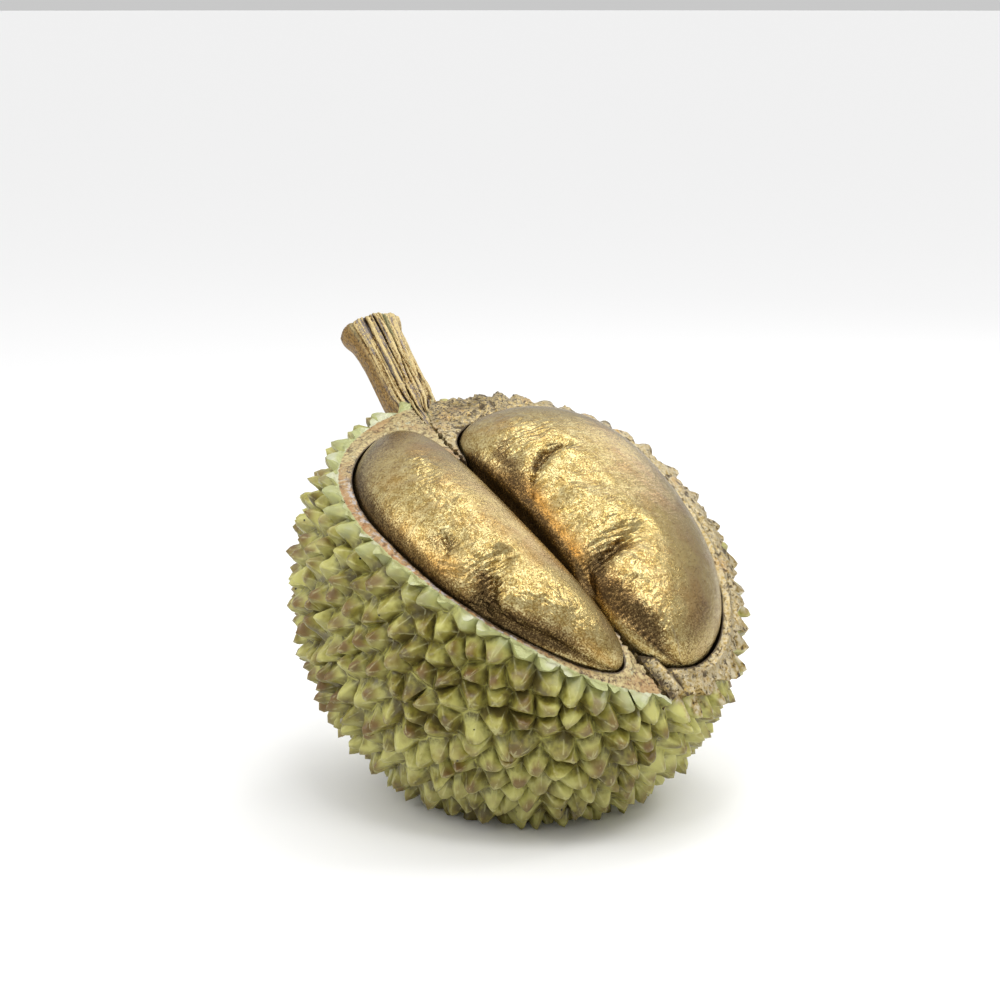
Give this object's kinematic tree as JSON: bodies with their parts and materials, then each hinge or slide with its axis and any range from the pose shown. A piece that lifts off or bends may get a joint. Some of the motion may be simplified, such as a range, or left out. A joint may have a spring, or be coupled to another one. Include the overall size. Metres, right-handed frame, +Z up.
{
  "type": "opened durian with gilded pods",
  "caption": "Durian lying on a flat spot, opened across the top, with a spiny green husk, gold-brown pith, gilded pods and a grooved stem.",
  "frame": {"origin": "middle of the flat spot that the durian rests on, straight under the middle of the whole fruit", "axes": "+Z up, +Y level along the fruit towards its stem end, +X to the right seen from the tip end"},
  "size_m": [0.1939, 0.2201, 0.1948],
  "materials": {
    "husk": "cast and painted olive green, brown wash, satin",
    "pith": "cast, gold and copper leaf over brown wash, satin",
    "pod": "gold leaf over brown wash, worn and crumpled, glossy",
    "stem": "cast bark, gold dry-brushed over dark brown"
  },
  "bodies": {
    "root": {"husk": "husk", "pith": "pith", "pod_left": "pod", "pod_right": "pod", "stem": "stem"}
  },
  "joints": []
}
